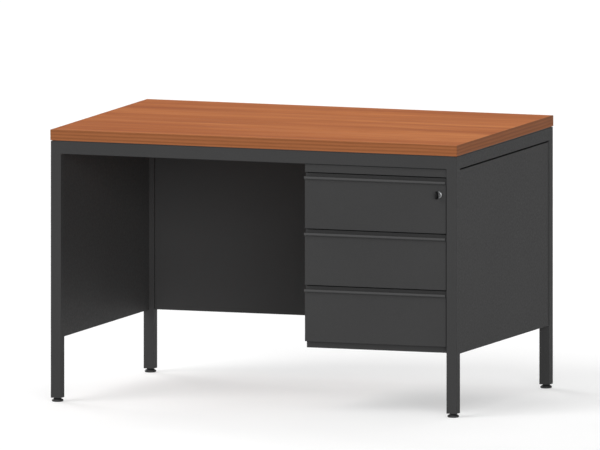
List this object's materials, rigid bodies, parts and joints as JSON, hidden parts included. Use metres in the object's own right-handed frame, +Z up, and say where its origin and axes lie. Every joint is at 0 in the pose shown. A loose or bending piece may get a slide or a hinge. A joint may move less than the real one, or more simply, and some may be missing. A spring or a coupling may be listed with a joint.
{
  "type": "teacher desk",
  "caption": "Steel-framed teacher desk: wood-decor top, square legs, side and rear modesty panels, and a hung right pedestal of lipped drawers with a lock.",
  "frame": {"origin": "centre of the desk's overall footprint on the floor, with the key in the lock; the top's own centre lies 9.75 mm behind it", "axes": "+X to the right seen from the front, +Y towards the rear, so the drawers open towards -Y, +Z up"},
  "size_m": [1.2008, 0.8199, 0.762],
  "materials": {
    "wood_decor": "satin melamine, warm pear decor, grain along the width",
    "edge_decor": "satin edging with fine lengthwise lines",
    "anthracite_paint": "fine-textured satin powder coat",
    "zinc_steel": "bright zinc plate",
    "chrome": "polished",
    "black_plastic": "fine moulded texture"
  },
  "bodies": {
    "root": {"tabletop_core": "wood_decor", "edge_band_front": "edge_decor", "edge_band_rear": "edge_decor", "edge_band_left": "edge_decor", "edge_band_right": "edge_decor", "leg_front_left": "anthracite_paint", "leg_front_right": "anthracite_paint", "leg_rear_left": "anthracite_paint", "leg_rear_right": "anthracite_paint", "rail_front": "anthracite_paint", "rail_rear": "anthracite_paint", "rail_left": "anthracite_paint", "rail_right": "anthracite_paint", "top_fixing_tabs": "anthracite_paint", "side_panel_left": "anthracite_paint", "side_panel_left_liner": "anthracite_paint", "side_panel_right": "anthracite_paint", "side_panel_right_liner": "anthracite_paint", "modesty_panel": "anthracite_paint", "modesty_panel_liner": "anthracite_paint", "pedestal_side_left": "anthracite_paint", "pedestal_side_right": "anthracite_paint", "pedestal_rear": "anthracite_paint", "pedestal_base": "anthracite_paint", "pedestal_top": "anthracite_paint", "pedestal_fascia": "anthracite_paint", "pedestal_hanger_front": "anthracite_paint", "pedestal_hanger_rear": "anthracite_paint", "lock_strike": "anthracite_paint", "tabletop_screws": "zinc_steel", "pedestal_bolts": "zinc_steel", "runner_1_outer": "zinc_steel", "runner_2_outer": "zinc_steel", "runner_3_outer": "zinc_steel", "foot_inserts": "black_plastic"},
    "drawer_1": {"drawer_1_front": "anthracite_paint", "drawer_1_box": "anthracite_paint", "drawer_1_screws": "zinc_steel", "runner_1_inner": "zinc_steel", "lock_barrel": "chrome", "lock_nut": "zinc_steel"},
    "drawer_2": {"drawer_2_front": "anthracite_paint", "drawer_2_box": "anthracite_paint", "drawer_2_screws": "zinc_steel", "runner_2_inner": "zinc_steel"},
    "drawer_3": {"drawer_3_front": "anthracite_paint", "drawer_3_box": "anthracite_paint", "drawer_3_screws": "zinc_steel", "runner_3_inner": "zinc_steel"},
    "runner_1": {"runner_1_middle": "zinc_steel"},
    "runner_2": {"runner_2_middle": "zinc_steel"},
    "runner_3": {"runner_3_middle": "zinc_steel"},
    "lock": {"lock_plug": "chrome", "lock_cam": "zinc_steel"},
    "key": {"key_blade": "zinc_steel", "key_bow": "black_plastic"},
    "foot_front_left": {"foot_front_left": "black_plastic"},
    "foot_front_right": {"foot_front_right": "black_plastic"},
    "foot_rear_left": {"foot_rear_left": "black_plastic"},
    "foot_rear_right": {"foot_rear_right": "black_plastic"}
  },
  "joints": [
    {"name": "drawer_1_slide", "type": "slide", "parent": "root", "child": "drawer_1", "axis": [0, -1, 0], "range_m": [0, 0.45]},
    {"name": "runner_1_follow", "type": "slide", "parent": "root", "child": "runner_1", "axis": [0, -1, 0], "range_m": [0, 0.225]},
    {"name": "drawer_2_slide", "type": "slide", "parent": "root", "child": "drawer_2", "axis": [0, -1, 0], "range_m": [0, 0.45]},
    {"name": "runner_2_follow", "type": "slide", "parent": "root", "child": "runner_2", "axis": [0, -1, 0], "range_m": [0, 0.225]},
    {"name": "drawer_3_slide", "type": "slide", "parent": "root", "child": "drawer_3", "axis": [0, -1, 0], "range_m": [0, 0.45]},
    {"name": "runner_3_follow", "type": "slide", "parent": "root", "child": "runner_3", "axis": [0, -1, 0], "range_m": [0, 0.225]},
    {"name": "lock_turn", "type": "hinge", "parent": "drawer_1", "child": "lock", "pos_m": [0.544, -0.38225, 0.622], "axis": [0, 1, 0], "range_deg": [0, 90]},
    {"name": "key_pull", "type": "slide", "parent": "lock", "child": "key", "axis": [0, -1, 0], "range_m": [0, 0.03]},
    {"name": "foot_front_left_height", "type": "slide", "parent": "root", "child": "foot_front_left", "axis": [0, 0, -1], "range_m": [0, 0.012]},
    {"name": "foot_front_right_height", "type": "slide", "parent": "root", "child": "foot_front_right", "axis": [0, 0, -1], "range_m": [0, 0.012]},
    {"name": "foot_rear_left_height", "type": "slide", "parent": "root", "child": "foot_rear_left", "axis": [0, 0, -1], "range_m": [0, 0.012]},
    {"name": "foot_rear_right_height", "type": "slide", "parent": "root", "child": "foot_rear_right", "axis": [0, 0, -1], "range_m": [0, 0.012]}
  ],
  "couplings": [
    {"joint": "runner_1_follow", "follows": "drawer_1_slide", "ratio": 0.5},
    {"joint": "runner_2_follow", "follows": "drawer_2_slide", "ratio": 0.5},
    {"joint": "runner_3_follow", "follows": "drawer_3_slide", "ratio": 0.5}
  ]
}
